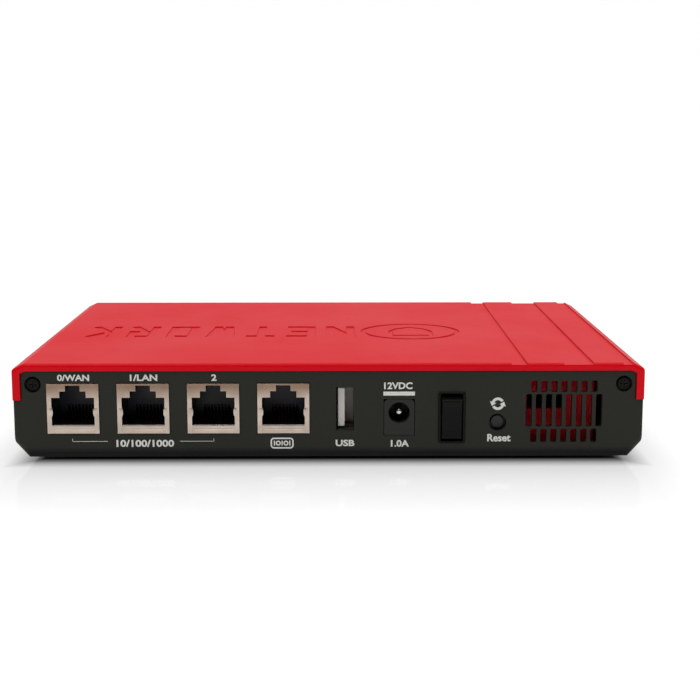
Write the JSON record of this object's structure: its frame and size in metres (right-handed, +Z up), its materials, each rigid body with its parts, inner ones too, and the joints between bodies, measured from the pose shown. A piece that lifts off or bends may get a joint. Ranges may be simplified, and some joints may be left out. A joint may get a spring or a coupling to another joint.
{
  "type": "firewall appliance",
  "caption": "Flat desktop network firewall: red moulded cover on a charcoal tray, with modular jacks, USB, DC inlet, rocker switch, reset button and vent at the rear.",
  "frame": {"origin": "on the surface the feet stand on, midway between the sides and midway between the front face and the rocker's proud end", "axes": "+X to the right as seen from the front, +Y out of the rear socket panel, +Z up"},
  "size_m": [0.18, 0.1297, 0.029],
  "materials": {
    "red_abs": "satin moulded",
    "charcoal_abs": "fine texture",
    "black_nylon": "moulded",
    "button_abs": "moulded",
    "nickel_can": "nickel plated sheet",
    "gold_contact": "gold flashed",
    "nickel_pin": "nickel plated",
    "white_pbt": "moulded",
    "black_screw": "black zinc",
    "steel_screw": "zinc plated",
    "clear_pipe": "clear polycarbonate",
    "led_epoxy": "clear",
    "circuit_board": "solder mask",
    "chip_epoxy": "moulded",
    "crystal_can": "drawn can",
    "ferrite": "pressed powder",
    "cell_steel": "brushed",
    "can_aluminium": "drawn can",
    "sink_aluminium": "black anodised",
    "pad_silicone": "soft",
    "brass": "knurled",
    "foot_rubber": "matte"
  },
  "bodies": {
    "case": {"base_tray": "charcoal_abs", "board_screws": "steel_screw", "bulk_capacitors": "can_aluminium", "clock_cell": "cell_steel", "clock_cell_holder": "black_nylon", "crystals": "crystal_can", "dc_jack_body": "black_nylon", "dc_jack_pin": "nickel_pin", "dc_jack_spring": "gold_contact", "flash_chip": "chip_epoxy", "foot_front_left": "foot_rubber", "foot_front_right": "foot_rubber", "foot_rear_left": "foot_rubber", "foot_rear_right": "foot_rubber", "heatsink": "sink_aluminium", "heatsink_pins": "black_nylon", "indicator_leds": "led_epoxy", "jack_contacts_console": "gold_contact", "jack_contacts_lan_1": "gold_contact", "jack_contacts_lan_2": "gold_contact", "jack_contacts_wan": "gold_contact", "jack_insert_console": "black_nylon", "jack_insert_lan_1": "black_nylon", "jack_insert_lan_2": "black_nylon", "jack_insert_wan": "black_nylon", "jack_shield_console": "nickel_can", "jack_shield_lan_1": "nickel_can", "jack_shield_lan_2": "nickel_can", "jack_shield_wan": "nickel_can", "light_pipe_failover": "clear_pipe", "light_pipe_ports": "clear_pipe", "light_pipe_status": "clear_pipe", "main_board": "circuit_board", "memory_chips": "chip_epoxy", "network_transformers": "chip_epoxy", "power_inductors": "ferrite", "processor": "chip_epoxy", "rear_screws": "black_screw", "reset_switch_body": "black_nylon", "switch_chip": "chip_epoxy", "switch_frame": "black_nylon", "switch_terminals": "nickel_pin", "thermal_pad": "pad_silicone", "threaded_inserts": "brass", "top_cover": "red_abs", "usb_contacts": "gold_contact", "usb_shell": "nickel_can", "usb_tongue": "white_pbt"},
    "rocker": {"power_rocker": "black_nylon"},
    "reset": {"reset_button": "button_abs", "reset_plunger": "button_abs"}
  },
  "joints": [
    {"name": "power_rocker_tilt", "type": "hinge", "parent": "case", "child": "rocker", "pos_m": [-0.03515, 0.06116, 0.01315], "axis": [1, 0, 0], "range_deg": [0, 16]},
    {"name": "reset_press", "type": "slide", "parent": "case", "child": "reset", "axis": [0, -1, 0], "range_m": [0, 0.001], "stiffness_N_per_m": 300}
  ]
}
